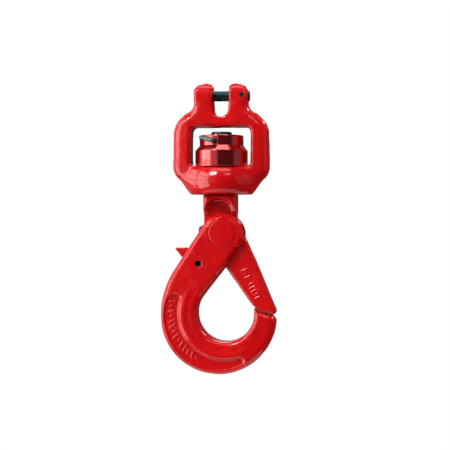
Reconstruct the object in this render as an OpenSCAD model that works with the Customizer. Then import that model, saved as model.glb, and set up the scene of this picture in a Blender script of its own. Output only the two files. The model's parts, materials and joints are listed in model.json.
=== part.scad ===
// Clevis swivel hook with a self-locking jaw, for size 10 lifting chain.
// Origin: centre of the clevis pin. +Z up, +X towards the arm side, -Y towards the front.

/* [Clevis] */
// Diameter of the pin that carries the chain link
clevis_pin_d = 9; // [8:0.5:10]
// Gap between the two ears
slot_w = 13.6; // [12:0.2:15]
// Width across both ears
ears_w = 46.8; // [45:0.2:49]
// Depth of the ears from front to back
ear_depth = 25; // [24:0.5:26]
// Outer diameter of the roll pin that keeps the clevis pin in place
keeper_d = 4.2; // [3.5:0.1:4.6]

/* [Yoke] */
// Width across the two side bars
yoke_w = 84; // [82:0.5:88]
// Width of the window that the nut turns in
window_w = 52; // [51:0.5:54]
// Largest diameter of the round boss that holds the shank
boss_d = 57; // [55:0.5:60]

/* [Swivel] */
// Diameter of the shank in the boss
shank_d = 20; // [19:0.5:20.5]
// Diameter of the lower skirt of the swivel nut
nut_d = 45.6; // [45:0.2:46.5]
// Diameter of the upper collar of the swivel nut
collar_d = 38.2; // [37:0.2:39]
// Number of balls in the thrust bearing
ball_count = 13; // [9:1:14]
// Diameter of one ball
ball_d = 5.56; // [5:0.02:5.6]

/* [Hook] */
// Diameter of the bowl's opening
bowl_d = 49.6; // [46:0.2:51]
// Depth of the hook body from front to back
hook_depth = 28; // [26:0.5:29]
// Width of the slot between the two cheeks
fork_w = 14; // [13:0.2:15]
// Diameter of the load pin's shaft
load_pin_d = 14; // [12:0.5:15]
// Diameter of the load pin's heads
load_head_d = 22.8; // [20:0.2:24]

/* [Lock] */
// Outer diameter of the roll pin that the trigger turns on
trigger_pin_d = 5.4; // [5:0.1:6]
// Wire diameter of the trigger spring
spring_wire = 1.1; // [0.9:0.1:1.2]
// Number of turns in the trigger spring
spring_turns = 4; // [3:1:4]

/* [Hidden] */
$fn = 72;

eps = 0.01;             // overlap of a cutting shape
run = 0.05;             // radial clearance of a running fit
side_gap = 0.3;         // clearance beside a moving part

// Heights along the swivel axis
slot_bottom_z = -11.5;  // centre of the slot's round bottom
window_top_z = -27;
boss_top_z = -62.2;
boss_bottom_z = -85.3;
nut_bottom_z = -61.5;
bearing_top_z = -52.2;
nut_top_z = -34.2;
stub_top_z = -31.2;
stub_r = 9;
race_t = 3;             // thickness of one bearing race
race_r = 17.2;          // outer radius of the races
track_r = 13.8;         // radius of the circle of balls
skirt_inner_r = 19.4;
seal_inner_r = 17.8;
ball_z = (boss_top_z + bearing_top_z) / 2;
split_pin_z = -40;
split_pin_d = 3.6;
split_pin_turn = -13;   // degrees that the split pin's hole lies off the front
keeper_x = 18.6;

// Pivots of the jaw, [X, Z]
load_pin_at = [1.5, -118.4];
trigger_at = [-18.8, -145.2];
bowl_at = [4.1, -187.9];
back_at = [-2.2, -190.5];  // centre of the bowl's outer curve
back_r = 50.3;
flank_at = [18.1, -189.7]; // centre of the flatter curve up the bowl's left side
flank_r = 70.2;

bowl_r = bowl_d / 2;
cheek_r = 18;           // round end of the cheeks
cheek_at = load_pin_at + [0.8, -1.6];
strap_half = 17.2;      // half the width of the strap below the cheeks
cheek_side = 19.4;      // reach of the cheeks to the right of the strap's middle line
cheek_reach = 20.4;     // radius about the load pin that clears the cheeks
tongue_r = 15.5;        // disc of the arm between the cheeks
lug_r = 21;             // reach of the lock lug
tongue_w = fork_w - 2 * side_gap;
arm_depth = 22;
neck_depth = 28;
fork_bottom_z = -157;
strap_lean = 34.9;      // degrees that the strap leans from the vertical
strap = [-sin(strap_lean), -cos(strap_lean)];  // direction down the strap
strap_side = [-cos(strap_lean), sin(strap_lean)]; // direction to its left side

// The point at a distance and an angle from a centre
function polar(c, r, a) = c + r * [cos(a), sin(a)];
// The point a given way down the strap and to its left, counted from the load pin
function on_strap(down, left) = load_pin_at + down * strap + left * strap_side;

// A profile drawn in X and Z, made into a plate centred on the XZ plane
module plate(depth) {
    translate([0, depth / 2, 0])
        rotate([90, 0, 0])
            linear_extrude(depth) children();
}

// A rod along Y through the point at, [X, Z]
module rod_y(at, r, length) {
    translate([at[0], length / 2, at[1]])
        rotate([90, 0, 0]) cylinder(h = length, r = r);
}

// A rod along X, centred on the origin
module rod_x(r, length) {
    translate([-length / 2, 0, 0])
        rotate([0, 90, 0]) cylinder(h = length, r = r);
}

module box(low, high) {
    translate(low) cube(high - low);
}

// A rectangle from low to high with round corners
module round_box(low, high, r) {
    translate(low + [r, 0]) square(high - low - [2 * r, 0]);
    translate(low + [0, r]) square(high - low - [0, 2 * r]);
    for (x = [low[0] + r, high[0] - r], z = [low[1] + r, high[1] - r])
        translate([x, z]) circle(r);
}

// A tube of round section that follows a list of points
module wire(path, r, sides = 8) {
    last = len(path) - 1;
    along = [for (i = [0 : last])
        unit(path[min(i + 1, last)] - path[max(i - 1, 0)])];
    points = [for (i = [0 : last], k = [0 : sides - 1])
        let (n = unit(cross(along[i], [0.31, 0.93, 0.2])), b = cross(along[i], n))
        path[i] + r * (cos(360 * k / sides) * n + sin(360 * k / sides) * b)];
    side_faces = [for (i = [0 : last - 1], k = [0 : sides - 1])
        let (j = (k + 1) % sides)
        [i * sides + k, i * sides + j, (i + 1) * sides + j, (i + 1) * sides + k]];
    start = [for (k = [0 : sides - 1]) sides - 1 - k];
    end = [for (k = [0 : sides - 1]) last * sides + k];
    polyhedron(points, concat(side_faces, [start, end]), convexity = 6);
}
function unit(v) = v / norm(v);

// ---- Yoke ----

module ear_profile() {
    half = ears_w / 2;
    inner = slot_w / 2 - 1;
    for (s = [-1, 1])
        polygon([[s * inner, -30], [s * half, -30], [s * half, 5], [s * (half - 2.2), 8.6],
            [s * 15.5, 12], [s * 12, 12.6], [s * 9, 11.2], [s * inner, 7.6]]);
}

// Shoulders, side bars and lower corners of the yoke, seen from the front
module frame_profile() {
    half = yoke_w / 2;
    shoulder_r = 19;
    corner_r = 26;
    shoulder_z = -34;
    corner_z = -58.5;
    translate([-half, corner_z]) square([yoke_w, shoulder_z - corner_z]);
    for (s = [-1, 1]) {
        translate([s * (half - shoulder_r), shoulder_z]) circle(shoulder_r);
        translate([s * (half - corner_r), corner_z]) circle(corner_r);
    }
    translate([shoulder_r - half, shoulder_z]) square([yoke_w - 2 * shoulder_r, shoulder_r - 0.5]);
    translate([corner_r - half, corner_z - corner_r + 0.5]) square([yoke_w - 2 * corner_r, corner_r]);
}

module slot_profile() {
    translate([-slot_w / 2, slot_bottom_z]) square([slot_w, 40]);
    translate([0, slot_bottom_z]) circle(slot_w / 2);
}

// Half section of the boss, from the swivel axis outwards
module boss_section() {
    top_r = 23.5;
    half_h = (boss_top_z - boss_bottom_z) / 2;
    bulge = boss_d / 2 - top_r;
    bulge_r = (half_h * half_h + bulge * bulge) / (2 * bulge);
    intersection() {
        translate([0, boss_bottom_z]) square([boss_d, 2 * half_h]);
        union() {
            translate([boss_d / 2 - bulge_r, boss_bottom_z + half_h]) circle(bulge_r);
            translate([0, boss_bottom_z - 5]) square([boss_d / 2 - bulge_r, 2 * half_h + 10]);
        }
    }
}

module yoke() {
    bar_r = ear_depth / 2 + 0.2;
    color("crimson") difference() {
        union() {
            intersection() {
                plate(ear_depth) difference() {
                    union() {
                        ear_profile();
                        frame_profile();
                    }
                    slot_profile();
                    round_box([-window_w / 2, boss_top_z], [window_w / 2, window_top_z], 5);
                }
                union() {
                    rod_x(ear_depth / 2 + 0.1, yoke_w + 10);
                    box([-yoke_w, -ear_depth, boss_bottom_z - 5], [yoke_w, ear_depth, -4]);
                }
                union() {
                    for (s = [-1, 1])
                        translate([s * (yoke_w / 2 - bar_r), 0, boss_bottom_z - 5])
                            cylinder(h = 120, r = bar_r);
                    box([bar_r - yoke_w / 2, -ear_depth, boss_bottom_z - 5],
                        [yoke_w / 2 - bar_r, ear_depth, 35]);
                }
            }
            rotate_extrude() boss_section();
        }
        translate([0, 0, boss_bottom_z - 1]) cylinder(h = 30, r = shank_d / 2 + run);
        rod_x(clevis_pin_d / 2 + run, ears_w + 10);
        rod_y([keeper_x, 0], keeper_d / 2, ear_depth + 10);
    }
}

// Pin that carries the chain link, cross-drilled for its keeper
module clevis_pin() {
    tip = 1.3;
    chamfer = 0.6;
    r = clevis_pin_d / 2;
    color("darkslategray") difference() {
        translate([-ears_w / 2, 0, 0]) rotate([0, 90, 0])
            rotate_extrude()
                polygon([[0, 0], [r - chamfer, 0], [r, chamfer], [r, ears_w + tip - chamfer],
                    [r - chamfer, ears_w + tip], [0, ears_w + tip]]);
        rod_y([keeper_x, 0], keeper_d / 2, 2 * clevis_pin_d);
    }
}

// Slotted hollow pin along Y
module roll_pin(at, d, length, bore) {
    difference() {
        rod_y(at, d / 2, length);
        rod_y(at, bore / 2, length + 2);
        box([at[0] - 0.3, -length, at[1]], [at[0] + 0.3, length, at[1] + d]);
    }
}

module clevis_keeper_pin() {
    color("dimgray") roll_pin([keeper_x, 0], keeper_d, ear_depth - 0.4, 2.6);
}

// ---- Swivel nut and its thrust bearing ----

module swivel_nut() {
    r1 = nut_d / 2;
    r2 = collar_d / 2;
    shoulder_z = -47.7;
    collar_z = -43.1;
    edge = 1.5;
    color("crimson") difference() {
        rotate_extrude() polygon([[stub_r, bearing_top_z], [skirt_inner_r, bearing_top_z],
            [skirt_inner_r, nut_bottom_z], [r1, nut_bottom_z], [r1, shoulder_z],
            [r2, collar_z], [r2, nut_top_z - edge], [r2 - edge, nut_top_z], [stub_r, nut_top_z]]);
        split_pin_hole();
    }
}

module split_pin_hole() {
    rotate([0, 0, split_pin_turn]) translate([0, 30, split_pin_z])
        rotate([90, 0, 0]) cylinder(h = 60, r = split_pin_d / 2);
}

// Split pin through the nut and the shank, its legs bent to the left round the collar
module nut_split_pin() {
    r = split_pin_d / 2;
    bend_r = collar_d / 2 + r + 0.5;
    eye_r = 3;
    color("lightslategray") rotate([0, 0, split_pin_turn]) translate([0, 0, split_pin_z]) {
        translate([0, collar_d / 2 + 0.6, 0])
            rotate([90, 0, 0]) cylinder(h = collar_d / 2 + 0.6 + bend_r, r = r - 0.05);
        rotate([0, 14, 0]) rotate([0, 0, -90 - 45])
            rotate_extrude(angle = 45) translate([bend_r, 0]) circle(r - 0.1);
        translate([0, collar_d / 2 + eye_r + 0.4, 0]) rotate([0, 90, 0])
            rotate_extrude() translate([eye_r - 0.9, 0]) circle(0.9);
    }
}

// One race, its ball groove on the side towards the balls
module race(z0, bore_r) {
    color("lightsteelblue") difference() {
        translate([0, 0, z0]) rotate_extrude()
            translate([bore_r, 0]) square([race_r - bore_r, race_t]);
        translate([0, 0, ball_z]) rotate_extrude()
            translate([track_r, 0]) circle(ball_d / 2 + run);
    }
}

module bearing_lower_race() { race(boss_top_z, shank_d / 2 + 0.5); }

module bearing_upper_race() { race(bearing_top_z - race_t, shank_d / 2); }

module bearing_balls() {
    color("silver") for (i = [0 : ball_count - 1])
        rotate([0, 0, 360 * i / ball_count]) translate([track_r, 0, ball_z])
            sphere(d = ball_d);
}

module bearing_cage() {
    cage_t = 1.6;
    color("goldenrod") difference() {
        translate([0, 0, ball_z - cage_t / 2]) rotate_extrude()
            translate([track_r - 3.3, 0]) square([6.4, cage_t]);
        for (i = [0 : ball_count - 1])
            rotate([0, 0, 360 * i / ball_count]) translate([track_r, 0, ball_z - 5])
                cylinder(h = 10, d = ball_d + 0.1);
    }
}

// Ring under the nut's skirt that keeps dirt out of the bearing
module bearing_dust_seal() {
    color("dimgray") translate([0, 0, boss_top_z + side_gap]) rotate_extrude()
        translate([seal_inner_r, 0]) square([skirt_inner_r - seal_inner_r, 2.2]);
}

// ---- Shank and arm ----

// Arm below the hub, from the shoulder to the seat for the hook's tip
module arm_profile() {
    polygon([polar(load_pin_at, tongue_r, 30), [19.6, -119.6], [23.1, -127.6], [30.1, -143.1],
        [37.1, -160.1],
        [44.6, -178.6], [47.4, -184.6], [47.6, -186.6], [46.4, -189], [35.3, -186.0],
        [29.9, -182.6], [28, -181], [24, -176.1], [14, -162.1], [3.9, -148.1],
        polar(load_pin_at, tongue_r, 216), load_pin_at]);
}

// Neck under the boss, running into the hub
module neck_profile() {
    polygon([[-14.9, boss_bottom_z - side_gap], [13.7, boss_bottom_z - side_gap],
        [13.7, -103], polar(load_pin_at, tongue_r, 25), load_pin_at,
        polar(load_pin_at, tongue_r, 165), [-14.9, -103.6]]);
}

// Lock lug on the left of the tongue; the trigger's nose stands under it
module lug_profile() {
    polygon([load_pin_at, polar(load_pin_at, lug_r, 178), polar(load_pin_at, lug_r, 167),
        polar(load_pin_at, tongue_r + 1.5, 152)]);
}

// What the cheeks sweep beside the tongue, cleared out of the thick parts
module cheek_clearance() {
    gap = 0.8;
    translate(load_pin_at) circle(cheek_reach);
    polygon([on_strap(0, -cheek_side - gap), on_strap(60, -strap_half - gap), on_strap(60, 40),
        on_strap(-4, 40), on_strap(-4, 0)]);
}

module scoop_profile() {
    scoop_r = 13;
    scoop_at = [-0.6, -101.3];
    translate(scoop_at) circle(scoop_r);
    polygon([[-30, scoop_at[1] + 2], [scoop_at[0], scoop_at[1] + 2],
        scoop_at + [scoop_r - 1, 0], load_pin_at + [12, 0], load_pin_at + [-32, 0]]);
}

module shank_arm() {
    color("firebrick") difference() {
        union() {
            translate([0, 0, boss_bottom_z - side_gap - eps])
                cylinder(h = bearing_top_z - boss_bottom_z + side_gap + eps, d = shank_d);
            translate([0, 0, bearing_top_z - eps]) cylinder(h = stub_top_z - bearing_top_z, r = stub_r);
            plate(tongue_w) {
                arm_profile();
                neck_profile();
                translate(load_pin_at) circle(tongue_r);
                lug_profile();
            }
            plate(neck_depth) difference() {
                neck_profile();
                cheek_clearance();
                scoop_profile();
            }
            plate(arm_depth) difference() {
                arm_profile();
                cheek_clearance();
            }
        }
        rod_y(load_pin_at, load_pin_d / 2 + run, 60);
        split_pin_hole();
    }
}

// ---- Hook body, its pins and the trigger ----

module hook_profile() {
    strap_end = 46;       // how far down the strap its left edge meets the flank
    tangent = bowl_at + bowl_r * strap_side;
    difference() {
        union() {
            translate(back_at) circle(back_r);
            intersection() {
                translate(flank_at) circle(flank_r);
                polygon([bowl_at, back_at, back_at - [75, 2], on_strap(strap_end, 50),
                    on_strap(strap_end, 0)]);
            }
            translate(cheek_at) circle(cheek_r);
            polygon([on_strap(0, strap_half), on_strap(strap_end, strap_half - 1.3),
                on_strap(strap_end + 14, 0), tangent, on_strap(4, -cheek_side)]);
        }
        translate(bowl_at) circle(bowl_r);
        // Throat above the bowl, up to the arm's seat on the tip
        polygon([on_strap(4, -cheek_side), tangent, bowl_at, bowl_at + [bowl_r, 0],
            [28.9, -183.7], [35.1, -186.8], [46.8, -190.1], [60, -190], [60, -124]]);
    }
}

module fork_slot() {
    box([-80, -fork_w / 2, fork_bottom_z], [40, fork_w / 2, -90]);
}

module hook_body() {
    color("crimson") difference() {
        plate(hook_depth) hook_profile();
        fork_slot();
        rod_y(load_pin_at, load_pin_d / 2, 60);
        rod_y(trigger_at, trigger_pin_d / 2, 60);
    }
}

// Headed pin that joins the hook body to the arm
module load_pin() {
    head_t = 0.9;
    color("red") {
        rod_y(load_pin_at, load_pin_d / 2, hook_depth + 2 * head_t);
        for (s = [-1, 1])
            translate([0, s * (hook_depth + head_t) / 2, 0]) rod_y(load_pin_at, load_head_d / 2, head_t);
    }
}

// Lever in the fork: a nose under the lock lug, and a thumb tab on the left
module trigger_profile() {
    polygon([[-17.8, -120.9], [-20.9, -120.9], on_strap(29.6, strap_half - 1.1), [-30.4, -131.4],
        [-39.2, -131.4], [-40, -132.4], [-33.8, -139.9], trigger_at + [-6.6, -3],
        trigger_at + [4, 5.6], [-13.4, -137], [-16.3, -127]]);
    translate(trigger_at) circle(7);
}

module trigger() {
    pocket_w = 7.4;
    pocket_r = 5.2;
    color("crimson") difference() {
        plate(tongue_w) trigger_profile();
        rod_y(trigger_at, trigger_pin_d / 2 + run, 30);
        rod_y(trigger_at, pocket_r, pocket_w);
        box([trigger_at[0] - 4, -pocket_w / 2, trigger_at[1] - 9],
            [trigger_at[0] + 9, pocket_w / 2, trigger_at[1]]);
        // Groove for the spring's upper leg
        box([-30, -pocket_w / 2, trigger_at[1] - 9], [trigger_at[0], -pocket_w / 2 + 2.2, trigger_at[1] + 5]);
    }
}

module trigger_pin() {
    color("dimgray") roll_pin(trigger_at, trigger_pin_d, hook_depth - 0.6, 3.8);
}

// Torsion spring on the trigger's pin: one leg under the tab, one on the fork's floor
module trigger_spring() {
    steps = 20 * spring_turns;
    pitch = spring_wire + 0.25;
    coil_r = trigger_pin_d / 2 + spring_wire / 2 + 0.5;
    start_turn = 100;
    sweep = 360 * spring_turns + start_turn;
    width = pitch * sweep / 360;
    coil = [for (i = [0 : steps])
        let (t = i / steps, at = polar(trigger_at, coil_r, start_turn - sweep * t))
        [at[0], width * (t - 0.5), at[1]]];
    tab_leg = [for (i = [3 : -1 : 1]) coil[0] + i * [-2.6, 0, -0.1]];
    floor_leg = [for (i = [1 : 3]) coil[steps] + i * [0, 0, (fork_bottom_z + 0.6 - trigger_at[1]) / 3]];
    color("silver") wire(concat(tab_leg, coil, floor_leg), spring_wire / 2);
}

yoke();
clevis_pin();
clevis_keeper_pin();
swivel_nut();
nut_split_pin();
bearing_lower_race();
bearing_upper_race();
bearing_balls();
bearing_cage();
bearing_dust_seal();
shank_arm();
hook_body();
load_pin();
trigger();
trigger_pin();
trigger_spring();
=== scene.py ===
import json
import math

import bpy
import numpy as np
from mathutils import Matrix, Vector


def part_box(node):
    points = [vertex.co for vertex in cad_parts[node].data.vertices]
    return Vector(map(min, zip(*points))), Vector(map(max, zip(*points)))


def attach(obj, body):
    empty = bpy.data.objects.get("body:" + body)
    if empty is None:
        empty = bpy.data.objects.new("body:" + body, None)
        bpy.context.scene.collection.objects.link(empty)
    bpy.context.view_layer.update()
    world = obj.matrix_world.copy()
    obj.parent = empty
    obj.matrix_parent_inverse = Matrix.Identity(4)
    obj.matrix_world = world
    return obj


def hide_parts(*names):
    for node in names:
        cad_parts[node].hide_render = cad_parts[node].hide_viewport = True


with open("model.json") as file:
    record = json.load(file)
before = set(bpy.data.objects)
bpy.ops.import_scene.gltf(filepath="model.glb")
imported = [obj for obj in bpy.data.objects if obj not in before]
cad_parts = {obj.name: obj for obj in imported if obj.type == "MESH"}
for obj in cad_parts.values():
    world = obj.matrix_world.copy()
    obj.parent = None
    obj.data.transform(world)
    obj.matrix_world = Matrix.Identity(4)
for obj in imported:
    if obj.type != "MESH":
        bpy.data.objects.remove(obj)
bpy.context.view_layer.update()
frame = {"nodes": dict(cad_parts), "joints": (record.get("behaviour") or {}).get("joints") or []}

# Shapes are signed distance fields in millimetres, in the frame of the CAD model.
MM = 0.001
COARSE = 1.0
SKIN = 0.12  # how far the painted surface stays inside the CAD outline
WOBBLE = 0.1  # height of the slow unevenness of forged steel


def joint_point(name):
    """X and Z of a joint's axis, in millimetres."""
    for joint in frame["joints"]:
        if joint["name"] == name:
            return np.array([joint["pos_m"][0], joint["pos_m"][2]]) / MM
    raise ValueError("no joint " + name)


def box_mm(node):
    low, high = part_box(node)
    return np.array(low) / MM, np.array(high) / MM


# ---- Distance fields ----


def soft_min(a, b, k):
    """Union that blends smoothly where the two are within k of each other."""
    h = np.maximum(k - np.abs(a - b), 0.0) / k
    return np.minimum(a, b) - h * h * k * 0.25


def both(a, b, r):
    """Intersection whose edge is rounded to radius r."""
    corner = np.sqrt(np.maximum(a + r, 0.0) ** 2 + np.maximum(b + r, 0.0) ** 2)
    return np.minimum(-r, np.maximum(a, b)) + corner


def either(a, b, r):
    """Union whose inner corner is filled to radius r."""
    return -both(-a, -b, r)


def bevelled(a, b, leg, r):
    """Intersection with a flat bevel of that leg, its two edges rounded to radius r."""
    flat = (a + b + leg) * math.sqrt(0.5)
    return both(both(a, flat, r), b, r)


def blend(a, b, share):
    return a + (b - a) * share


def ramp(v, start, end):
    t = np.clip((v - start) / (end - start), 0.0, 1.0)
    return t * t * (3.0 - 2.0 * t)


def disc(u, v, centre, r):
    return np.hypot(u - centre[0], v - centre[1]) - r


def turned(points):
    """The points in anticlockwise order."""
    p = np.array(points, float)
    q = np.roll(p, -1, axis=0)
    area = np.sum(p[:, 0] * q[:, 1] - q[:, 0] * p[:, 1])
    return p if area > 0 else p[::-1]


def inset(points, r):
    """The polygon with every side moved inwards by r."""
    p = turned(points)
    side = np.roll(p, -1, axis=0) - p
    side /= np.linalg.norm(side, axis=1)[:, None]
    normal = np.stack([side[:, 1], -side[:, 0]], axis=1)
    before = np.roll(normal, 1, axis=0)
    share = 1.0 + np.sum(normal * before, axis=1)
    return p - r * (normal + before) / share[:, None]


def polygon(u, v, points, r=0.0):
    """Distance to a polygon whose outer corners are rounded to radius r."""
    p = inset(points, r) if r else turned(points)
    q = np.roll(p, -1, axis=0)
    nearest = None
    inside = None
    for (ax, ay), (bx, by) in zip(p, q):
        ex = bx - ax
        ey = by - ay
        t = np.clip(((u - ax) * ex + (v - ay) * ey) / (ex * ex + ey * ey), 0.0, 1.0)
        d = (u - ax - t * ex) ** 2 + (v - ay - t * ey) ** 2
        crossing = ((ay > v) != (by > v)) & (u - ax < ex * (v - ay) / (ey if ey else 1.0))
        nearest = d if nearest is None else np.minimum(nearest, d)
        inside = crossing if inside is None else inside ^ crossing
    return np.where(inside, -1.0, 1.0) * np.sqrt(nearest) - r


def segment(x, z, p, q, r):
    """Distance to a straight stroke with round ends."""
    e = q - p
    t = np.clip(((x - p[0]) * e[0] + (z - p[1]) * e[1]) / max(float(e @ e), 1e-6), 0, 1)
    return np.hypot(x - p[0] - t * e[0], z - p[1] - t * e[1]) - r


def polar(centre, r, angle):
    a = math.radians(angle)
    return np.array([centre[0] + r * math.cos(a), centre[1] + r * math.sin(a)])


def forged(x, y, z):
    """Slow unevenness of a forged and painted surface."""
    return WOBBLE * (
        np.sin(0.33 * x + 0.21 * z + 1.3) * np.cos(0.29 * y + 0.11 * x)
        + 0.5 * np.sin(0.47 * z - 0.19 * x + 0.23 * y)
    )


# ---- Meshes from fields ----


SETTLE_STEPS = 4  # times that the vertices are moved onto the surface


def surface_net(field, low, high, step):
    """Vertices, quads and normals of the field's zero surface between two corners."""
    axes = [np.arange(low[i] - 1.5 * step, high[i] + 2.5 * step, step) for i in range(3)]
    shape = tuple(len(a) for a in axes)
    values = np.broadcast_to(
        field(axes[0][:, None, None], axes[1][None, :, None], axes[2][None, None, :]), shape
    )
    solid = values < 0
    corners = [(i, j, k) for i in (0, 1) for j in (0, 1) for k in (0, 1)]
    count = np.zeros([n - 1 for n in shape], np.int8)
    for i, j, k in corners:
        count += solid[i : shape[0] - 1 + i, j : shape[1] - 1 + j, k : shape[2] - 1 + k]
    active = (count > 0) & (count < 8)
    cells = np.argwhere(active)
    ids = np.full(count.shape, -1, np.int64)
    ids[active] = np.arange(len(cells))

    total = np.zeros((len(cells), 3))
    crossings = np.zeros(len(cells))
    for start in corners:
        for axis in range(3):
            if start[axis]:
                continue
            end = list(start)
            end[axis] = 1
            a = values[tuple((cells + start).T)]
            b = values[tuple((cells + end).T)]
            cut = (a < 0) != (b < 0)
            t = np.where(cut, a / np.where(cut, a - b, 1.0), 0.0)
            point = np.tile(np.array(start, float), (len(cells), 1))
            point[:, axis] = t
            total += point * cut[:, None]
            crossings += cut
    origin = np.array([a[0] for a in axes])
    points = origin + (cells + total / crossings[:, None]) * step

    quads = []
    for axis in range(3):
        b_axis = (axis + 1) % 3
        c_axis = (axis + 2) % 3
        first = np.take(solid, range(shape[axis] - 1), axis)
        second = np.take(solid, range(1, shape[axis]), axis)
        change = np.argwhere(first != second)
        keep = (change[:, b_axis] > 0) & (change[:, c_axis] > 0)
        keep &= (change[:, b_axis] < shape[b_axis] - 1) & (change[:, c_axis] < shape[c_axis] - 1)
        change = change[keep]
        rising = solid[tuple(change.T)]
        ring = []
        for db, dc in ((-1, -1), (0, -1), (0, 0), (-1, 0)):
            at = change.copy()
            at[:, b_axis] += db
            at[:, c_axis] += dc
            ring.append(ids[tuple(at.T)])
        quad = np.stack(ring, axis=1)
        quad[~rising] = quad[~rising][:, ::-1]
        quads.append(quad)

    for _ in range(SETTLE_STEPS):
        f, g = slope(field, points)
        reach = np.clip(f / np.maximum(np.sum(g * g, axis=1), 0.05), -step, step)
        points = points - reach[:, None] * g
    f, g = slope(field, points)
    normals = g / np.maximum(np.linalg.norm(g, axis=1), 1e-9)[:, None]
    return points, np.concatenate(quads), normals


def slope(field, p, e=0.04):
    """The field and its gradient at the points."""
    x, y, z = p.T
    g = np.stack(
        [
            field(x + e, y, z) - field(x - e, y, z),
            field(x, y + e, z) - field(x, y - e, z),
            field(x, y, z + e) - field(x, y, z - e),
        ],
        axis=1,
    )
    return field(x, y, z), g / (2 * e)


def make_object(name, points, faces, normals=None):
    """A smooth mesh object from points in millimetres."""
    mesh = bpy.data.meshes.new(name)
    mesh.from_pydata((points * MM).tolist(), [], faces)
    mesh.shade_smooth()
    if normals is not None:
        mesh.normals_split_custom_set_from_vertices(normals.tolist())
    obj = bpy.data.objects.new(name, mesh)
    bpy.context.scene.collection.objects.link(obj)
    return obj


def carve(name, field, node, step, margin=1.0):
    """A mesh of a field, sampled in the box of the CAD node it stands for."""
    low, high = box_mm(node)
    points, quads, normals = surface_net(field, low - margin, high + margin, step * COARSE)
    return make_object(name, points, quads.tolist(), normals)


def tube(name, path, radius, sides=14):
    """A round wire along a path, with rounded ends."""
    p = np.array(path, float)
    first = p[0] - (p[1] - p[0]) / np.linalg.norm(p[1] - p[0]) * radius
    last = p[-1] + (p[-1] - p[-2]) / np.linalg.norm(p[-1] - p[-2]) * radius
    rows = np.concatenate([[first + 0.3 * (p[0] - first)], p, [last + 0.3 * (p[-1] - last)]])
    radii = np.full(len(rows), radius)
    radii[0] = radii[-1] = 0.5 * radius
    along = np.gradient(rows, axis=0)
    along /= np.linalg.norm(along, axis=1)[:, None]
    across = np.cross(along, [0.31, 0.93, 0.2])
    across /= np.linalg.norm(across, axis=1)[:, None]
    other = np.cross(along, across)
    turn = np.arange(sides) * 2 * math.pi / sides
    ring = np.cos(turn)[None, :, None] * across[:, None]
    ring = ring + np.sin(turn)[None, :, None] * other[:, None]
    points = (rows[:, None] + radii[:, None, None] * ring).reshape(-1, 3)
    faces = []
    for i in range(len(rows) - 1):
        for k in range(sides):
            j = (k + 1) % sides
            faces.append([i * sides + k, i * sides + j, (i + 1) * sides + j, (i + 1) * sides + k])
    tip = len(points)
    top = (len(rows) - 1) * sides
    for k in range(sides):
        j = (k + 1) % sides
        faces.append([tip, j, k])
        faces.append([tip + 1, top + k, top + j])
    points = np.concatenate([points, [first, last]])
    return make_object(name, points, faces)


# ---- Sizes that several pieces share ----

LOAD_PIN = joint_point("hook_open")
TRIGGER = joint_point("trigger_press")
LOAD_PIN_R = 7.0
BOSS_TOP = -62.2
BOSS_BOTTOM = -85.3
SHANK_R = 10.0
SHANK_TOP = -52.2
STUB_R = 9.0
STUB_TOP = -31.2
NUT_BOTTOM = -61.5
NUT_TOP = -34.2
SPLIT_PIN_Z = -40.0
SPLIT_PIN_R = 1.75
SPLIT_PIN_TURN = math.radians(-13)
CLEVIS_R = 4.5
KEEPER_X = 18.6
KEEPER_R = 2.1
KEEPER_BORE = 1.3
TRIGGER_PIN_R = 2.7
TRIGGER_PIN_BORE = 1.5
TRIGGER_PIN_SUNK = 1.5  # how much shorter the pin is at each end than the CAD pin
BOWL = np.array([4.1, -187.9])
BOWL_R = 24.8
BACK = np.array([-2.2, -190.5])  # centre of the bowl's outer arc
CHEEK_HALF = 14.0
CHEEK_SWEEP = 20.4  # radius that is kept clear for the cheeks round the load pin
FORK_HALF = 7.0
FORK_BOTTOM = -157.0
TONGUE_HALF = 6.7
LEAN = math.radians(34.9)
# The strap runs down from the load pin; its side points left.
STRAP = np.array([-math.sin(LEAN), -math.cos(LEAN)])
STRAP_SIDE = np.array([-math.cos(LEAN), math.sin(LEAN)])
STRAP_HALF = 17.2
CHEEK_SIDE = 19.4
CHEEK_GAP = 0.8


def on_strap(down, left):
    """A point of the strap, counted from the load pin."""
    return LOAD_PIN + down * STRAP + left * STRAP_SIDE


# ---- Yoke ----


FRAME_OUTLINE = [
    (0.0, -7.0),
    (18.0, -8.6),
    (25.3, -12.4),
    (32.0, -16.2),
    (38.6, -22.6),
    (41.3, -30.0),
    (41.9, -60.0),
    (41.9, -66.8),
    (22.6, -86.1),
    (0.0, -86.1),
]
EAR_OUTLINE = [
    (6.0, -30.0),
    (6.0, 8.0),
    (9.0, 11.8),
    (12.4, 13.4),
    (15.6, 12.7),
    (20.6, 8.8),
    (23.3, 4.8),
    (23.3, -30.0),
]


SLOT_HALF = 6.8
SLOT_CENTRE_Z = -11.5
WINDOW_TOP = -27.0
WINDOW_HALF = 26.0
BOSS_R = 28.4
BOSS_EDGE_R = 23.5
BAR_HALF = 12.5
BORE_GAP = 0.05


def mirrored(points):
    """A right half outline, made whole across the middle plane."""
    return points + [(-x, z) for x, z in reversed(points) if x > 0]


def yoke_outline(ax, z):
    """The yoke from the front, on the right half."""
    block = polygon(ax, z, mirrored(FRAME_OUTLINE), 13.5)
    ear = polygon(ax, z, EAR_OUTLINE, 2.4)
    return either(block, ear, 4.5)


def slot_field(x, z):
    """The slot between the ears, open at the top and round at the bottom."""
    return np.hypot(x, np.minimum(z - SLOT_CENTRE_Z, 0.0)) - SLOT_HALF


def window_field(ax, z):
    """The opening round the nut."""
    middle = 0.5 * (BOSS_TOP + WINDOW_TOP)
    half = 0.5 * (WINDOW_TOP - BOSS_TOP)
    return both(ax - WINDOW_HALF, np.abs(z - middle) - half, 5.0)


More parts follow.
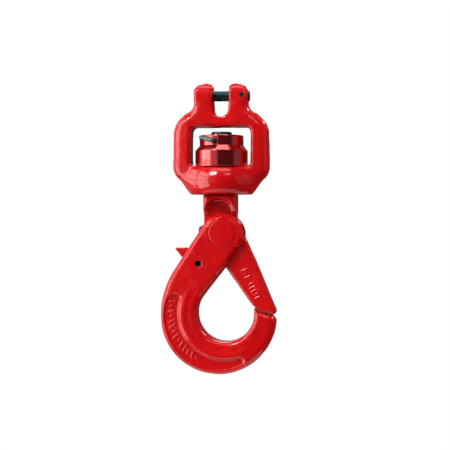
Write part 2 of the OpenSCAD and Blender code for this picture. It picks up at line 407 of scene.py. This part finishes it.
def boss_field(x, y, z):
    """The round boss under the window, with a bulging rim."""
    r = np.hypot(x, y)
    half = 0.5 * (BOSS_TOP - BOSS_BOTTOM)
    bulge = BOSS_R - BOSS_EDGE_R
    bulge_r = (half * half + bulge * bulge) / (2 * bulge)
    ring = disc(r, z, (BOSS_R - SKIN - bulge_r, BOSS_BOTTOM + half), bulge_r)
    return both(ring, np.abs(z - BOSS_BOTTOM - half) - half, 2.2)


def yoke_field(x, y, z):
    ax = np.abs(x)
    crown = 0.5 * ramp(ax, 26.0, 42.0) * ramp(-z, 12.0, 24.0)
    lug = np.hypot(y, np.maximum(z, 0.0)) - BAR_HALF + 0.5 * SKIN + crown
    outer = yoke_outline(ax, z)
    high = ramp(z, -14.0, -2.0)
    body = blend(both(outer, lug, 8.5), both(outer, lug, 3.2), high)
    body = both(body, -slot_field(x, z), 2.4)
    body = both(body, -window_field(ax, z), 3.2)
    body = either(body, boss_field(x, y, z), 8.0)
    body = np.maximum(body, BOSS_BOTTOM - z)
    body = both(body, -(np.hypot(x, y) - SHANK_R - BORE_GAP), 0.8)
    body = both(body, -(np.hypot(y, z) - CLEVIS_R - BORE_GAP), 0.9)
    body = both(body, -disc(x, z, (KEEPER_X, 0.0), KEEPER_R), 0.5)
    return body + forged(x, y, z)


# ---- Clevis pin and the slotted pins ----


def clevis_pin_field(x, y, z):
    low, high = box_mm("clevis_pin")
    middle = 0.5 * (low[0] + high[0])
    half = 0.5 * (high[0] - low[0])
    rod = both(np.hypot(y, z) - CLEVIS_R, np.abs(x - middle) - half, 0.9)
    return both(rod, -disc(x, z, (KEEPER_X, 0.0), KEEPER_R), 0.3)


def roll_pin_field(at, r, bore, half):
    """The field of a hollow pin along Y, split on its upper side."""
    def field(x, y, z):
        wall = both(disc(x, z, at, r), np.abs(y) - half, 0.5)
        wall = both(wall, -disc(x, z, at, bore), 0.25)
        split = np.maximum(np.abs(x - at[0]) - 0.3, at[1] - z)
        return both(wall, -split, 0.15)

    return field


# ---- Swivel nut and its split pin ----

NUT_POCKET_R = 19.4
NUT_SKIRT_R = 22.8
NUT_COLLAR_R = 19.1
NUT_SECTION = [
    (STUB_R, SHANK_TOP),
    (NUT_POCKET_R, SHANK_TOP),
    (NUT_POCKET_R, NUT_BOTTOM),
    (NUT_SKIRT_R, NUT_BOTTOM),
    (NUT_SKIRT_R, -47.7),
    (NUT_COLLAR_R, -43.1),
    (NUT_COLLAR_R, NUT_TOP),
    (STUB_R, NUT_TOP),
]


def along_split_pin(x, y):
    """Coordinates across and along the split pin's hole."""
    c = math.cos(SPLIT_PIN_TURN)
    s = math.sin(SPLIT_PIN_TURN)
    return x * c + y * s, -x * s + y * c


def nut_field(x, y, z):
    r = np.hypot(x, y)
    ring = polygon(r, z, NUT_SECTION, 1.2)
    across, _ = along_split_pin(x, y)
    hole = np.hypot(across, z - SPLIT_PIN_Z) - SPLIT_PIN_R - 0.25
    return both(ring, -hole, 0.5)


def split_pin_path():
    """Through the nut and the shank, then bent to the left across the nut's collar."""
    straight = [(0.0, y, 0.0) for y in np.linspace(19.0, -18.6, 12)]
    bend = [(0.25, -20.2, 0.05), (-0.5, -21.3, 0.2), (-1.9, -21.7, 0.5)]
    leg = [(-11.9, -19.5, 3.2)]
    return np.array(straight + bend + leg)


def polyline(x, y, z, path):
    """Distance to the line through the path's points."""
    nearest = None
    for a, b in zip(path[:-1], path[1:]):
        e = b - a
        t = ((x - a[0]) * e[0] + (y - a[1]) * e[1] + (z - a[2]) * e[2]) / (e @ e)
        t = np.clip(t, 0, 1)
        d = (x - a[0] - t * e[0]) ** 2 + (y - a[1] - t * e[1]) ** 2 + (z - a[2] - t * e[2]) ** 2
        nearest = d if nearest is None else np.minimum(nearest, d)
    return np.sqrt(nearest)


def split_pin_field(x, y, z):
    u, v = along_split_pin(x, y)
    w = z - SPLIT_PIN_Z
    d = polyline(u, v, w, split_pin_path())
    outside = ramp(-v, 18.6, 20.2)
    legs = d - SPLIT_PIN_R + 0.05 - 0.25 * outside
    gap = np.abs(w + 0.27 * np.minimum(u + 1.9, 0.0)) - 0.14
    legs = both(legs, -gap, 0.2)
    eye = np.hypot(np.hypot(v - 22.5, w) - 2.1, u) - 0.9
    return soft_min(legs, eye, 0.8)


# ---- Shank and arm ----


def cheek_room(x, z):
    """Distance outside the space that the cheeks of the hook take up."""
    u = x - LOAD_PIN[0]
    v = z - LOAD_PIN[1]
    strap_edge = u * -STRAP_SIDE[0] + v * -STRAP_SIDE[1] - STRAP_HALF - CHEEK_GAP
    below = u * -STRAP[0] + v * -STRAP[1]
    strap = np.maximum(strap_edge, below)
    return np.minimum(disc(x, z, LOAD_PIN, CHEEK_SWEEP), strap)


ARM = [
    (16.0, -111.5),
    (19.6, -119.6),
    (23.1, -127.6),
    (30.1, -143.1),
    (37.1, -160.1),
    (44.6, -178.6),
    (47.4, -184.6),
    (47.6, -186.6),
    (46.4, -189.0),
    (35.3, -186.0),
    (29.9, -182.6),
    (28.0, -181.0),
    (24.0, -176.1),
    (14.0, -162.1),
    (3.9, -148.1),
    (-11.0, -127.6),
    (1.5, -118.4),
]
ARM_MARKS = 9
ARM_MARK_SKIPPED = 5  # leaves the space between the two groups
ARM_MARK_PITCH = 3.3
ARM_MARK_HEIGHT = 0.3
HUB_R = 15.5
LUG_R = 21.0
NECK_RIGHT = 13.7
NECK_LEFT = -14.9
NECK_TOP = -85.6
NECK_BOTTOM = -122.0


def arm_marks(x, z):
    """Two short groups of generic raised strokes along the arm."""
    start = np.array([32.0, -174.2])
    up = np.array([-0.449, 0.893])
    side = np.array([0.893, 0.449])
    marks = None
    for i in range(ARM_MARKS):
        if i == ARM_MARK_SKIPPED:
            continue
        at = start + up * ARM_MARK_PITCH * i
        half = 1.2 if i % 3 == 1 else 2.3
        tip = side * half
        d = segment(x, z, at - tip, at + tip, 0.55)
        marks = d if marks is None else np.minimum(marks, d)
    return marks


def shank_arm_field(x, y, z):
    ay = np.abs(y)
    shank = both(np.hypot(x, y) - SHANK_R, np.maximum(z - SHANK_TOP, -86.5 - z), 0.8)
    stub = both(np.hypot(x, y) - STUB_R, np.maximum(z - STUB_TOP, -60.0 - z), 1.1)
    shank = np.minimum(shank, stub)

    room = cheek_room(x, z)
    neck = [
        (NECK_LEFT, NECK_TOP),
        (NECK_RIGHT, NECK_TOP),
        (NECK_RIGHT, NECK_BOTTOM),
        (NECK_LEFT, NECK_BOTTOM),
    ]
    neck_2d = polygon(x, z, neck, 0.6)
    thick_neck = bevelled(neck_2d, ay - CHEEK_HALF + SKIN, 2.6, 0.9)
    scoop = disc(x, z, (-0.6, -101.3), 13.0)
    below = polygon(x, z, [(-32.0, -99.3), (12.4, -99.3), (12.4, -125.0), (-32.0, -125.0)])
    scoop = np.minimum(scoop, below)
    scoop = both(scoop, TONGUE_HALF - 0.2 - ay, 4.5)
    thick_neck = both(thick_neck, -scoop, 1.4)
    sweep = both(disc(x, z, LOAD_PIN, CHEEK_SWEEP), TONGUE_HALF - 0.2 - ay, 1.5)
    thick_neck = both(thick_neck, -sweep, 0.8)

    hub = disc(x, z, LOAD_PIN, HUB_R)
    lug_tip = [
        LOAD_PIN,
        polar(LOAD_PIN, LUG_R, 178),
        polar(LOAD_PIN, LUG_R, 167),
        polar(LOAD_PIN, 17.0, 152),
    ]
    lug = polygon(x, z, lug_tip, 0.3)
    arm_2d = polygon(x, z, ARM, 1.6)
    upper_neck = np.maximum(neck_2d, 100.0 * (z < LOAD_PIN[1]))
    plate = np.minimum(np.minimum(hub, lug), upper_neck)
    tongue = both(plate, ay - TONGUE_HALF, 0.5)

    half = 7.3 + 3.3 * ramp(0.45 * x - 0.89 * z, 128.0, 186.0)
    half = np.minimum(half, TONGUE_HALF + 0.6 * ramp(room, 0.0, 1.5) + 20.0 * (room > 1.5))
    half = half + ARM_MARK_HEIGHT * np.clip(0.5 - arm_marks(x, z) / 0.6, 0.0, 1.0) * (room > 6.0)
    arm = both(arm_2d, ay - half, 2.4)
    body = np.minimum(np.minimum(either(shank, thick_neck, 0.8), tongue), arm)
    body = both(body, -disc(x, z, LOAD_PIN, LOAD_PIN_R + BORE_GAP), 0.4)
    across, _ = along_split_pin(x, y)
    hole = np.hypot(across, z - SPLIT_PIN_Z) - SPLIT_PIN_R - 0.1
    body = np.maximum(body, -hole)
    return body + 0.6 * forged(x, y, z) * (z < -88.0)


# ---- Hook body ----


BACK_R = 50.3
FLANK = (18.1, -189.7)
FLANK_R = 70.2


def hook_solid(x, z):
    """The hook body from the front, without its opening."""
    back = disc(x, z, BACK, BACK_R - SKIN)
    flank_region = [BOWL, BACK, BACK - [75.0, 2.0], on_strap(8, 62), on_strap(8, 0)]
    flank = np.maximum(disc(x, z, FLANK, FLANK_R), polygon(x, z, flank_region))
    cheek = disc(x, z, LOAD_PIN + [0.8, -1.6], 18.0)
    tangent = BOWL + BOWL_R * STRAP_SIDE
    strap = [
        on_strap(0, STRAP_HALF),
        on_strap(46, STRAP_HALF - 1.3),
        on_strap(60, 0),
        tangent,
        on_strap(4, -CHEEK_SIDE),
    ]
    strap = polygon(x, z, strap)
    return soft_min(np.minimum(soft_min(back, flank, 2.0), strap), cheek, 1.0)


def hook_throat(x, z):
    """The bowl's opening and the throat above it."""
    tangent = BOWL + BOWL_R * STRAP_SIDE
    throat = [
        on_strap(4, -CHEEK_SIDE),
        tangent,
        BOWL,
        BOWL + [BOWL_R, 0.0],
        (28.9, -183.7),
        (35.1, -186.8),
        (46.8, -190.1),
        (60.0, -190.0),
        (60.0, -124.0),
    ]
    return np.minimum(disc(x, z, BOWL, BOWL_R), polygon(x, z, throat))


RECESS_OUTER_R = 46.4
RECESS_INNER_R = 40.3
RECESS_DEPTH = 2.0
RIDGE_R = 36.4
RIDGE_HEIGHT = 0.8
MARK_CENTRE = np.array([0.6, -188.9])
MARK_ROW_R = 43.6
MARK_HEIGHT = 0.75
MARK_LENGTHS = (2.4, 1.1, 2.4, 0.15, 2.4)  # half lengths, repeated along the row
RECESS_MARKS = 14


def recess_outline(x, z):
    """The crescent that is sunk into each face along the bowl, with round ends."""
    crescent = both(disc(x, z, BACK, RECESS_OUTER_R), -disc(x, z, BOWL, RECESS_INNER_R), 1.5)
    top = z + 170.5 + 0.06 * np.minimum(x + 40.0, 12.0) ** 2
    crescent = both(crescent, top, 3.0)
    end = (x - 19.0) * 0.9 + (z + 225.0) * 0.4
    return both(crescent, end, 3.0)


def recess_marks(x, z):
    """Generic raised strokes and dots along the crescent."""
    marks = None
    for i in range(RECESS_MARKS):
        a = math.radians(165.0 + 5.8 * i)
        outward = np.array([math.cos(a), math.sin(a)])
        along = np.array([-outward[1], outward[0]])
        at = MARK_CENTRE + outward * (MARK_ROW_R - 0.6 * ramp(float(i), 3.0, 9.0))
        half = MARK_LENGTHS[i % len(MARK_LENGTHS)]
        tip = outward + 0.3 * along
        tip = tip / np.linalg.norm(tip) * half
        d = segment(x, z, at - tip, at + tip, 0.6)
        marks = d if marks is None else np.minimum(marks, d)
    return marks


HOOK_LEFT = box_mm("hook_body")[0][0]
HOOK_LEFT_GAP = 0.15


def hook_field(x, y, z):
    ay = np.abs(y)
    solid = hook_solid(x, z)
    throat = hook_throat(x, z)
    bowl_share = ramp(-z, 150.0, 176.0)
    tip_share = ramp(x, 18.0, 44.0) * (z < -150.0)
    half = CHEEK_HALF - SKIN - 1.3 * ramp(-z, 150.0, 205.0) - 1.5 * tip_share
    ridge = np.abs(np.hypot(x - BOWL[0], z - BOWL[1]) - RIDGE_R)
    limits = ramp(-z, 164.0, 180.0) * ramp(-x, -27.0, -15.0)
    half = half + RIDGE_HEIGHT * limits * ramp(-ridge, -4.0, -0.4)
    face = ay - half

    strap_edge = bevelled(solid, face, 3.4, 0.5)
    bowl_edge = both(solid, face, 6.5)
    body = blend(strap_edge, bowl_edge, bowl_share)
    body = blend(bevelled(body, -throat, 3.0, 0.5), both(body, -throat, 5.0), bowl_share)

    floor = half - RECESS_DEPTH
    recess = both(recess_outline(x, z), floor - ay, 1.6)
    body = both(body, -recess, 1.8)
    marks = recess_marks(x, z)
    body = soft_min(body, both(marks, ay - floor - MARK_HEIGHT, 0.35), 0.5)

    slot = np.maximum(ay - FORK_HALF, FORK_BOTTOM - z)
    body = both(body, -slot, 0.9)
    body = both(body, -disc(x, z, LOAD_PIN, LOAD_PIN_R), 0.3)
    body = both(body, -disc(x, z, TRIGGER, TRIGGER_PIN_R), 0.9)
    return both(body + 0.8 * forged(x, y, z), HOOK_LEFT + HOOK_LEFT_GAP - x, 1.5)


# ---- Load pin, trigger and its pin and spring ----


HEAD_R = 11.4
HEAD_TOP = 14.9
DOME_HEIGHT = 0.3


def load_pin_field(x, y, z):
    ay = np.abs(y)
    r = np.hypot(x - LOAD_PIN[0], z - LOAD_PIN[1])
    shaft = np.maximum(r - LOAD_PIN_R, ay - 14.5)
    dome = ay - HEAD_TOP + DOME_HEIGHT * (r / HEAD_R) ** 2
    head = both(r - HEAD_R, np.maximum(dome, 13.6 - ay), 0.9)
    return np.minimum(shaft, head)


TRIGGER_OUTLINE = [
    (-17.8, -120.9),
    (-20.9, -120.9),
    tuple(on_strap(29.6, STRAP_HALF - 1.1)),
    (-30.4, -131.4),
    (-39.2, -131.4),
    (-40.0, -132.4),
    (-33.8, -139.9),
    tuple(TRIGGER + [-6.6, -3.0]),
    tuple(TRIGGER + [4.0, 5.6]),
    (-13.4, -137.0),
    (-16.3, -127.0),
]


POCKET_R = 5.2
POCKET_HALF = 3.7


def trigger_field(x, y, z):
    """The lever, hollowed for the spring's coil and grooved for its upper leg."""
    ay = np.abs(y)
    lever = polygon(x, z, TRIGGER_OUTLINE, 0.8)
    plate = soft_min(lever, disc(x, z, TRIGGER, 7.0), 1.0)
    body = both(plate, ay - TONGUE_HALF, 1.3)
    body = both(body, -disc(x, z, TRIGGER, TRIGGER_PIN_R + BORE_GAP), 0.3)
    pocket = np.maximum(disc(x, z, TRIGGER, POCKET_R), ay - POCKET_HALF)
    mouth = np.maximum(ay - POCKET_HALF, z - TRIGGER[1])
    mouth = np.maximum(np.abs(x - TRIGGER[0] - 2.5) - 6.5, mouth)
    body = np.maximum(body, -np.minimum(pocket, mouth))
    groove = np.maximum(np.abs(y + 2.6) - 1.1, z - TRIGGER[1] - 5.0)
    groove = np.maximum(groove, np.maximum(x - TRIGGER[0], -30.0 - x))
    return np.maximum(body, -groove)


SPRING_WIRE_R = 0.55
SPRING_TURNS = 4


def spring_path():
    """A leg in the trigger's groove, the coil round the pin, and a leg down to the fork's floor."""
    steps = 24 * SPRING_TURNS
    pitch = 2 * SPRING_WIRE_R + 0.25
    coil_r = TRIGGER_PIN_R + SPRING_WIRE_R + 0.5
    start = 100.0
    sweep = 360.0 * SPRING_TURNS + start
    width = pitch * sweep / 360.0
    coil = []
    for i in range(steps + 1):
        t = i / steps
        at = polar(TRIGGER, coil_r, start - sweep * t)
        coil.append(np.array([at[0], width * (t - 0.5), at[1]]))
    drop = (FORK_BOTTOM + 0.6 - TRIGGER[1]) / 3
    tab_leg = [coil[0] + i * np.array([-2.6, 0.0, -0.1]) for i in (3, 2, 1)]
    floor_leg = [coil[-1] + i * np.array([0.0, 0.0, drop]) for i in (1, 2, 3)]
    return tab_leg + coil + floor_leg


# ---- Materials ----


def new_material(name):
    material = bpy.data.materials.new(name)
    material.use_nodes = True
    nodes = material.node_tree.nodes
    nodes.clear()
    out = nodes.new("ShaderNodeOutputMaterial")
    shader = nodes.new("ShaderNodeBsdfPrincipled")
    material.node_tree.links.new(shader.outputs["BSDF"], out.inputs["Surface"])
    return material, shader


def noise(material, scale, detail=3.0, rough=0.55):
    """A noise texture over the object's own coordinates."""
    nodes = material.node_tree.nodes
    coord = nodes.new("ShaderNodeTexCoord")
    tex = nodes.new("ShaderNodeTexNoise")
    tex.inputs["Scale"].default_value = scale
    tex.inputs["Detail"].default_value = detail
    tex.inputs["Roughness"].default_value = rough
    material.node_tree.links.new(coord.outputs["Object"], tex.inputs["Vector"])
    return tex.outputs["Fac"]


def spread(material, value, low, high, out_low, out_high):
    """The value mapped from one range to another."""
    node = material.node_tree.nodes.new("ShaderNodeMapRange")
    material.node_tree.links.new(value, node.inputs["Value"])
    for key, v in zip(("From Min", "From Max", "To Min", "To Max"), (low, high, out_low, out_high)):
        node.inputs[key].default_value = v
    return node.outputs["Result"]


def mix_colour(material, factor, first, second):
    node = material.node_tree.nodes.new("ShaderNodeMix")
    node.data_type = "RGBA"
    material.node_tree.links.new(factor, node.inputs["Factor"])
    for key, value in (("A", first), ("B", second)):
        socket = [s for s in node.inputs if s.name == key and s.type == "RGBA"][0]
        if isinstance(value, tuple):
            socket.default_value = value + (1.0,)
        else:
            material.node_tree.links.new(value, socket)
    return [s for s in node.outputs if s.type == "RGBA"][0]


def bump(material, shader, height, strength, distance, coat=False):
    node = material.node_tree.nodes.new("ShaderNodeBump")
    node.inputs["Strength"].default_value = strength
    node.inputs["Distance"].default_value = distance
    links = material.node_tree.links
    links.new(height, node.inputs["Height"])
    links.new(node.outputs["Normal"], shader.inputs["Normal"])
    if coat:
        links.new(node.outputs["Normal"], shader.inputs["Coat Normal"])


def enamel(name, base, deep, metallic=0.0, rough=0.45, haze=0.15, lumpy=0.3, coat_ior=1.5):
    """Glossy stoved paint with a slight orange peel."""
    material, shader = new_material(name)
    links = material.node_tree.links
    tone = spread(material, noise(material, 45.0), 0.3, 0.7, 0.0, 1.0)
    colour = mix_colour(material, tone, base, deep)
    links.new(colour, shader.inputs["Base Color"])
    gloss = spread(material, noise(material, 120.0), 0.3, 0.7, rough - 0.04, rough + 0.06)
    links.new(gloss, shader.inputs["Roughness"])
    shader.inputs["Metallic"].default_value = metallic
    shader.inputs["Coat Weight"].default_value = 1.0
    shader.inputs["Specular IOR Level"].default_value = 0.06
    shader.inputs["Coat Roughness"].default_value = haze
    shader.inputs["Coat IOR"].default_value = coat_ior
    lumps = noise(material, 120.0, 2.5)
    bump(material, shader, lumps, lumpy, 0.0011, coat=True)
    return material


def red_enamel():
    return enamel("red_enamel", (0.62, 0.0022, 0.0035), (0.52, 0.002, 0.004))


def candy_red():
    return enamel(
        "candy_red",
        (0.72, 0.014, 0.014),
        (0.6, 0.01, 0.012),
        metallic=0.93,
        rough=0.2,
        haze=0.08,
        lumpy=0.03,
        coat_ior=1.75,
    )


def steel(name, base, dark, metallic, rough, grain=400.0, peak=0.0002):
    """Bare or plated steel: blotchy colour, uneven gloss and a fine grain."""
    material, shader = new_material(name)
    links = material.node_tree.links
    blotch = spread(material, noise(material, 160.0, 5.0), 0.35, 0.68, 0.0, 1.0)
    links.new(mix_colour(material, blotch, base, dark), shader.inputs["Base Color"])
    gloss = spread(material, noise(material, 260.0), 0.3, 0.7, rough - 0.07, rough + 0.1)
    links.new(gloss, shader.inputs["Roughness"])
    shader.inputs["Metallic"].default_value = metallic
    bump(material, shader, noise(material, grain, 4.0), 0.3, peak)
    return material


def black_oxide():
    return steel("black_oxide", (0.032, 0.088, 0.09), (0.016, 0.045, 0.048), 0.75, 0.3)


def fork_painted_shade():
    """Near-black red finish for inside the fork: painted shade for the dark slot between the
    cheeks.
    """
    return steel("fork_painted_shade", (0.05, 0.004, 0.004), (0.02, 0.004, 0.004), 0.0, 0.6)


def pin_painted_shade():
    """Near-black finish for the small hollow pin: painted shade, so that its bore reads as a dark
    hole.
    """
    return steel("pin_painted_shade", (0.006, 0.006, 0.006), (0.012, 0.01, 0.01), 0.0, 0.55)


def zinc():
    return steel("zinc", (0.16, 0.2, 0.18), (0.05, 0.08, 0.08), 0.9, 0.34)


def spring_steel():
    return steel("spring_steel", (0.34, 0.33, 0.31), (0.2, 0.19, 0.18), 1.0, 0.33)


def bearing_steel():
    return steel("bearing_steel", (0.55, 0.56, 0.58), (0.45, 0.46, 0.48), 1.0, 0.16, peak=0.00005)


def brass_cage():
    return steel("brass_cage", (0.6, 0.42, 0.14), (0.42, 0.27, 0.08), 1.0, 0.32)


def seal_rubber():
    return steel("seal_rubber", (0.018, 0.018, 0.019), (0.03, 0.03, 0.031), 0.0, 0.62)


def floor_material():
    material, shader = new_material("pale_floor")
    links = material.node_tree.links
    tone = spread(material, noise(material, 3.0), 0.3, 0.7, 0.0, 1.0)
    colour = mix_colour(material, tone, (0.74, 0.74, 0.74), (0.71, 0.71, 0.71))
    links.new(colour, shader.inputs["Base Color"])
    shader.inputs["Roughness"].default_value = 0.6
    return material


# ---- Pieces ----


def place(obj, body, node, slot, material):
    """The piece takes the node's place on its body and gets the material; slot is not used."""
    obj.data.materials.append(material)
    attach(obj, body)
    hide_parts(node)


def bare_end(obj, material):
    """The threaded end above the nut is left black."""
    obj.data.materials.append(material)
    for face in obj.data.polygons:
        if face.center.z > NUT_TOP * MM - 0.001:
            face.material_index = 1


def inner_faces(obj, material):
    """Painted shade: the faces inside the fork and the fork's floor get the near-black finish."""
    obj.data.materials.append(material)
    for face in obj.data.polygons:
        flat = abs(face.normal.y) > 0.9 and abs(face.center.y) < (FORK_HALF + 0.2) * MM
        floor = face.normal.z > 0.9 and abs(face.center.y) < FORK_HALF * MM
        if flat or (floor and abs(face.center.z / MM - FORK_BOTTOM) < 0.3):
            face.material_index = 1


def build():
    paint = red_enamel()
    candy = candy_red()
    black = black_oxide()
    plated = zinc()
    bore = pin_painted_shade()
    fork_shade = fork_painted_shade()
    wire = spring_steel()
    ball_steel = bearing_steel()
    brass = brass_cage()
    rubber = seal_rubber()

    keeper_half = box_mm("clevis_keeper_pin")[1][1]
    keeper = roll_pin_field((KEEPER_X, 0.0), KEEPER_R, KEEPER_BORE, keeper_half)
    pin_half = box_mm("trigger_pin")[1][1] - TRIGGER_PIN_SUNK
    trigger_pin = roll_pin_field(TRIGGER, TRIGGER_PIN_R, TRIGGER_PIN_BORE, pin_half)

    # node, field, grid step in millimetres, body, slot, material
    rows = [
        ("yoke", yoke_field, 0.62, "yoke", "red_enamel", paint),
        ("clevis_pin", clevis_pin_field, 0.36, "yoke", "black_oxide", black),
        ("clevis_keeper_pin", keeper, 0.22, "yoke", "black_oxide", black),
        ("swivel_nut", nut_field, 0.5, "shank", "red_enamel", candy),
        ("nut_split_pin", split_pin_field, 0.3, "shank", "zinc", plated),
        ("shank_arm", shank_arm_field, 0.52, "shank", "red_enamel", paint),
        ("hook_body", hook_field, 0.6, "hook", "red_enamel", paint),
        ("load_pin", load_pin_field, 0.36, "hook", "red_enamel", paint),
        ("trigger", trigger_field, 0.33, "trigger", "red_enamel", paint),
        # the trigger pin gets the near-black painted-shade finish, so its hollow end reads as a
        # dark hole
        ("trigger_pin", trigger_pin, 0.26, "hook", "black_oxide", bore),
    ]
    for node, field, step, body, slot, material in rows:
        obj = carve(node + "_look", field, node, step)
        place(obj, body, node, slot, material)
        if node == "shank_arm":
            bare_end(obj, black)
        # painted shade: the faces inside the fork get a near-black finish
        if node == "hook_body":
            inner_faces(obj, fork_shade)

    spring = tube("trigger_spring_look", spring_path(), SPRING_WIRE_R)
    place(spring, "hook", "trigger_spring", "spring_steel", wire)

    finishes = {
        "bearing_lower_race": ball_steel,
        "bearing_upper_race": ball_steel,
        "bearing_balls": ball_steel,
        "bearing_cage": brass,
        "bearing_dust_seal": rubber,
    }
    for node, material in finishes.items():
        data = frame["nodes"][node].data
        data.materials.clear()
        data.materials.append(material)


# ---- Stage, light and camera ----

TARGET = Vector((0.003, 0.0, -0.1118))
VIEW_ANGLE = math.radians(6.0)
VIEW_DISTANCE = 1.131
FLOOR_Z = -0.55
FLOOR_R = 0.42
BRIGHT_WAY = (-0.75, 0.62, 0.22)
DIM = 0.04
BRIGHT = 0.7
SENSOR = 36.0
HALF_FIELD = math.radians(9.8)


def make_floor():
    place_at = (0.0, 0.0, FLOOR_Z)
    bpy.ops.mesh.primitive_circle_add(
        vertices=96, radius=FLOOR_R, fill_type="NGON", location=place_at
    )
    floor = bpy.context.object
    floor.name = "floor"
    floor.data.materials.append(floor_material())


def soft_box(name, azimuth, elevation, distance, width, height, power):
    """An area light that faces the object; azimuth is counted from the camera, to the right."""
    a = math.radians(azimuth) + VIEW_ANGLE
    e = math.radians(elevation)
    way = Vector((math.sin(a) * math.cos(e), -math.cos(a) * math.cos(e), math.sin(e)))
    light = bpy.data.lights.new(name, "AREA")
    light.shape = "RECTANGLE"
    light.size = width
    light.size_y = height
    light.energy = power
    obj = bpy.data.objects.new(name, light)
    bpy.context.scene.collection.objects.link(obj)
    obj.location = TARGET + way * distance
    obj.rotation_euler = way.to_track_quat("Z", "Y").to_euler()
    obj.visible_camera = False
    return obj


def make_world():
    """White to the camera; to other rays, dark but for a bright patch behind, on the left."""
    world = bpy.data.worlds.new("studio")
    bpy.context.scene.world = world
    world.use_nodes = True
    tree = world.node_tree
    tree.nodes.clear()
    links = tree.links
    coord = tree.nodes.new("ShaderNodeTexCoord")
    side = tree.nodes.new("ShaderNodeVectorMath")
    side.operation = "DOT_PRODUCT"
    links.new(coord.outputs["Generated"], side.inputs[0])
    side.inputs[1].default_value = BRIGHT_WAY
    depth = tree.nodes.new("ShaderNodeMapRange")
    depth.interpolation_type = "SMOOTHSTEP"
    links.new(side.outputs["Value"], depth.inputs["Value"])
    depth.inputs["From Min"].default_value = 0.55
    depth.inputs["From Max"].default_value = 1.0
    depth.inputs["To Min"].default_value = DIM
    depth.inputs["To Max"].default_value = BRIGHT
    around = tree.nodes.new("ShaderNodeBackground")
    links.new(depth.outputs["Result"], around.inputs["Strength"])
    around.inputs["Color"].default_value = (1.0, 1.0, 1.0, 1.0)
    white = tree.nodes.new("ShaderNodeBackground")
    white.inputs["Color"].default_value = (1.0, 1.0, 1.0, 1.0)
    path = tree.nodes.new("ShaderNodeLightPath")
    mix = tree.nodes.new("ShaderNodeMixShader")
    links.new(path.outputs["Is Camera Ray"], mix.inputs["Fac"])
    links.new(around.outputs["Background"], mix.inputs[1])
    links.new(white.outputs["Background"], mix.inputs[2])
    out = tree.nodes.new("ShaderNodeOutputWorld")
    links.new(mix.outputs["Shader"], out.inputs["Surface"])


# Name, azimuth, elevation, distance, width, height, watts.
PANELS = [
    ("key_left", -38.0, 46.0, 1.6, 0.4, 0.4, 12.0),
    ("key_right", 62.0, 20.0, 1.6, 0.5, 0.7, 10.5),
    ("panel_left", -33.0, 0.0, 1.5, 0.78, 0.7, 0.8),
    ("panel_right", 72.0, 0.0, 1.5, 0.95, 0.8, 0.5),
    ("fill_right", 24.0, 40.0, 1.8, 0.4, 0.4, 1.6),
    ("rim_right", 112.0, 38.0, 1.5, 0.3, 0.3, 9.0),
    ("back_fill", 178.0, 40.0, 1.8, 0.8, 0.8, 8.0),
    ("top", -10.0, 78.0, 1.3, 1.1, 0.5, 4.5),
]
PANE_ROWS = (-26.0, -6.0, 14.0, 34.0)


def make_lights():
    """A window of four panes on the left, and panels round the object."""
    for i, elevation in enumerate(PANE_ROWS):
        soft_box("window_%d" % i, -72.5, elevation, 1.2, 0.98, 0.37, 4.6)
    for row in PANELS:
        panel = soft_box(*row)
        # This one fills the right-hand slopes without a reflection of its own.
        panel.visible_glossy = row[0] != "key_right"


def make_camera():
    data = bpy.data.cameras.new("camera")
    data.sensor_width = SENSOR
    data.lens = 0.5 * SENSOR / math.tan(HALF_FIELD)
    data.clip_start = 0.05
    data.clip_end = 20.0
    camera = bpy.data.objects.new("camera", data)
    bpy.context.scene.collection.objects.link(camera)
    way = Vector((math.sin(VIEW_ANGLE), -math.cos(VIEW_ANGLE), 0.0))
    camera.location = TARGET + way * VIEW_DISTANCE
    camera.rotation_euler = way.to_track_quat("Z", "Y").to_euler()
    bpy.context.scene.camera = camera


def main():
    build()
    make_floor()
    make_world()
    make_lights()
    make_camera()
    scene = bpy.context.scene
    scene.view_settings.view_transform = "Standard"
    scene.view_settings.look = "None"


main()
